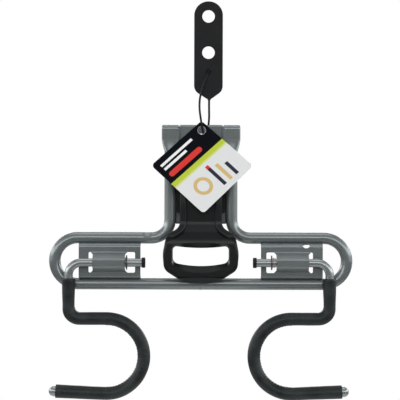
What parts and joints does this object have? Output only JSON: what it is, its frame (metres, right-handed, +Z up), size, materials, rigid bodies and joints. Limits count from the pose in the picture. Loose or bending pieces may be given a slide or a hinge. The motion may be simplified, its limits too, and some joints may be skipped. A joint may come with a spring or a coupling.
{
  "type": "garage utility hook",
  "caption": "Wall-rail bracket of bent steel tube with a sprung pull latch and two folding C-shaped hooks in foam sleeves, with its display tab and blank card tag.",
  "frame": {"origin": "rail seat: the underside of the claws, at the bracket's back plane, midway between the two legs", "axes": "+X to the right as seen from the front, +Y into the wall, +Z up"},
  "size_m": [0.2886, 0.0376, 0.3787],
  "materials": {
    "frame_paint": "grey metallic enamel over steel tube, satin",
    "plate_paint": "grey metallic enamel over stamped sheet, satin",
    "rod_paint": "grey metallic enamel over steel rod",
    "zinc_steel": "zinc plated",
    "dark_clip_steel": "phosphated spring steel",
    "latch_plastic": "fine moulded texture, satin",
    "cap_plastic": "satin",
    "sleeve_foam": "matte closed-cell foam with fine wrinkles",
    "tab_plastic": "satin",
    "tag_card": "printed coated card"
  },
  "bodies": {
    "frame": {"tube_frame": "frame_paint", "back_plate": "plate_paint", "left_pivot_plate": "plate_paint", "right_pivot_plate": "plate_paint", "latch_spring": "zinc_steel", "hang_tab": "tab_plastic", "tab_tail": "tab_plastic", "tail_barb": "tab_plastic", "hang_tag": "tag_card"},
    "latch": {"latch_handle": "latch_plastic", "latch_guides": "zinc_steel"},
    "left_hook": {"left_hook_rod": "rod_paint", "left_sleeve": "sleeve_foam", "left_retaining_clip": "dark_clip_steel", "left_clip_spring": "zinc_steel", "left_end_cap": "cap_plastic"},
    "right_hook": {"right_hook_rod": "rod_paint", "right_sleeve": "sleeve_foam", "right_retaining_clip": "dark_clip_steel", "right_clip_spring": "zinc_steel", "right_end_cap": "cap_plastic"}
  },
  "joints": [
    {"name": "latch_release", "type": "slide", "parent": "frame", "child": "latch", "axis": [0, 0, -1], "range_m": [0, 0.008], "stiffness_N_per_m": 400, "springref_m": -0.01, "deforming": ["latch_spring"]},
    {"name": "left_hook_fold", "type": "hinge", "parent": "frame", "child": "left_hook", "pos_m": [-0.08685, -0.018, -0.128], "axis": [-1, 0, 0], "range_deg": [0, 90]},
    {"name": "right_hook_fold", "type": "hinge", "parent": "frame", "child": "right_hook", "pos_m": [0.08685, -0.018, -0.128], "axis": [-1, 0, 0], "range_deg": [0, 90]}
  ]
}
